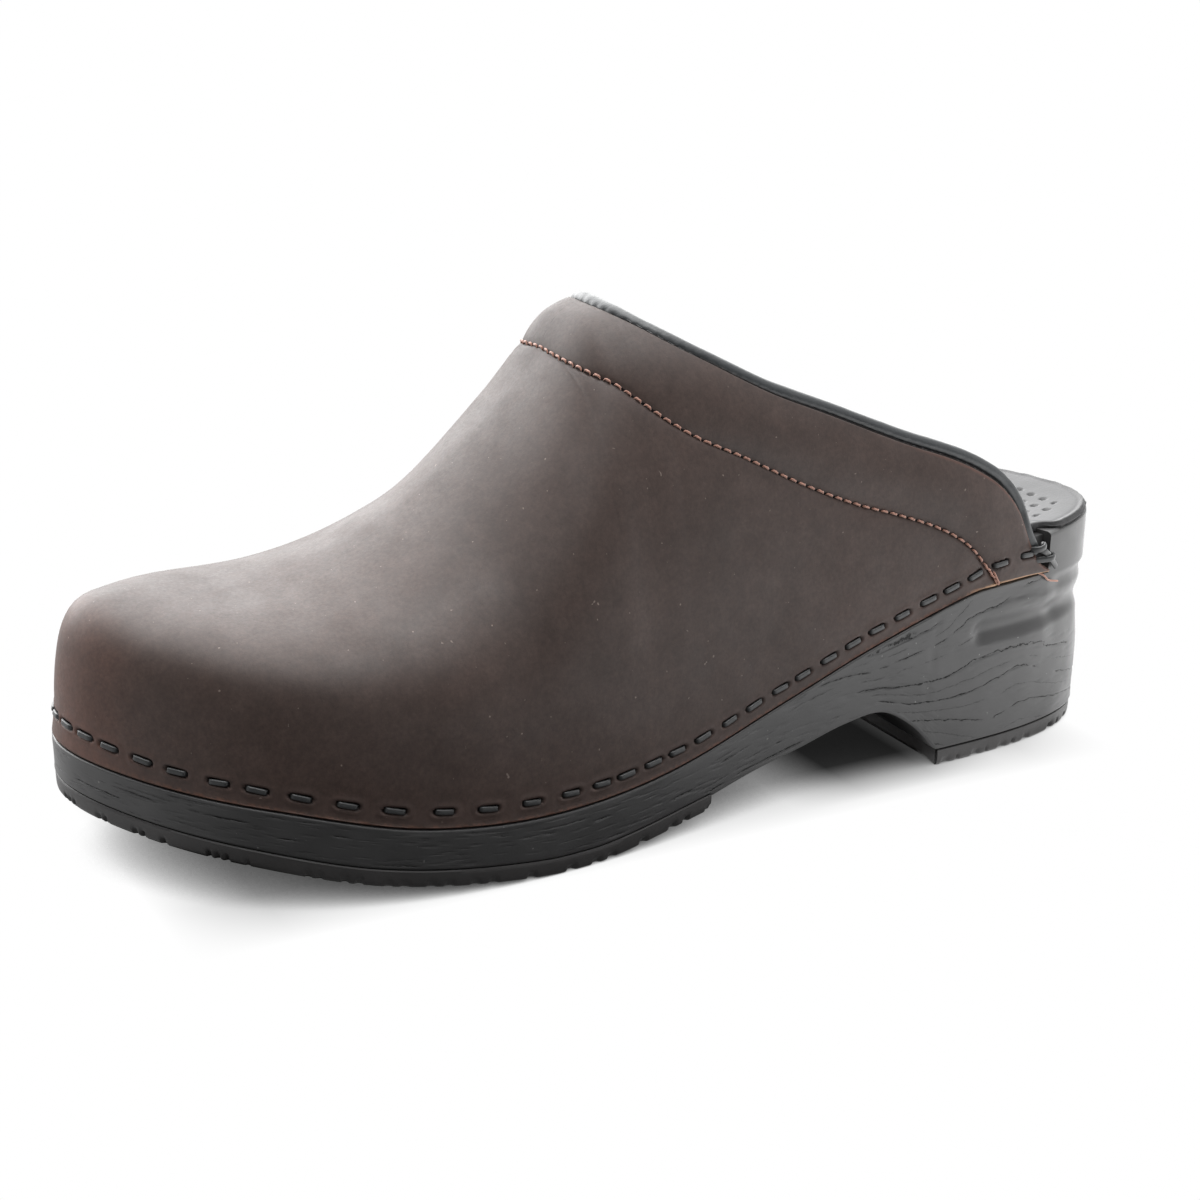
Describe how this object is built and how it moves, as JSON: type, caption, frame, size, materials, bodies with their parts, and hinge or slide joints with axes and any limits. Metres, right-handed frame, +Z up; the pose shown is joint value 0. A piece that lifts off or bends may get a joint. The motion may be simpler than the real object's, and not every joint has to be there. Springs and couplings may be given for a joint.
{
  "type": "clog",
  "caption": "Open-back clog for the left foot: dark leather upper with a padded, bound collar, laced by a black cord to a moulded sole with an arched waist and block heel",
  "frame": {"origin": "centre of the bounding box in X and Y, on the ground", "axes": "+Y from toe to heel, +X to the outer (little toe) side, +Z up"},
  "size_m": [0.1063, 0.2915, 0.1304],
  "materials": {
    "sole_shell": "satin black moulded polyurethane with a raised wood-grain texture",
    "forefoot_tread": "black rubber",
    "heel_tread": "black rubber",
    "shank": "glass-filled nylon, hidden",
    "insole_board": "pressed fibre board, hidden",
    "footbed_foam": "grey open-cell foam, hidden",
    "heel_pad": "soft gel pad, hidden",
    "arch_pad": "firm latex foam, hidden",
    "sock_liner": "dark grey sock leather with small perforations",
    "leather_upper": "dark brown oiled nubuck",
    "vamp_lining": "light brown lining leather",
    "toe_puff": "stiffened felt, hidden",
    "collar_padding": "yellow foam, hidden",
    "topline_tape": "white woven tape, hidden",
    "topline_binding": "rolled black leather binding",
    "binding_stitching": "black thread",
    "collar_stitching": "rust-brown thread",
    "seam_thread_tails": "rust-brown thread",
    "lacing_cord": "black waxed cord",
    "cord_knot_outer": "black waxed cord",
    "cord_knot_inner": "black waxed cord"
  },
  "bodies": {
    "root": {"sole_shell": "sole_shell", "forefoot_tread": "forefoot_tread", "heel_tread": "heel_tread", "shank": "shank", "insole_board": "insole_board", "footbed_foam": "footbed_foam", "heel_pad": "heel_pad", "arch_pad": "arch_pad", "sock_liner": "sock_liner", "leather_upper": "leather_upper", "vamp_lining": "vamp_lining", "toe_puff": "toe_puff", "collar_padding": "collar_padding", "topline_tape": "topline_tape", "topline_binding": "topline_binding", "binding_stitching": "binding_stitching", "collar_stitching": "collar_stitching", "seam_thread_tails": "seam_thread_tails", "lacing_cord": "lacing_cord", "cord_knot_outer": "cord_knot_outer", "cord_knot_inner": "cord_knot_inner"}
  },
  "joints": []
}
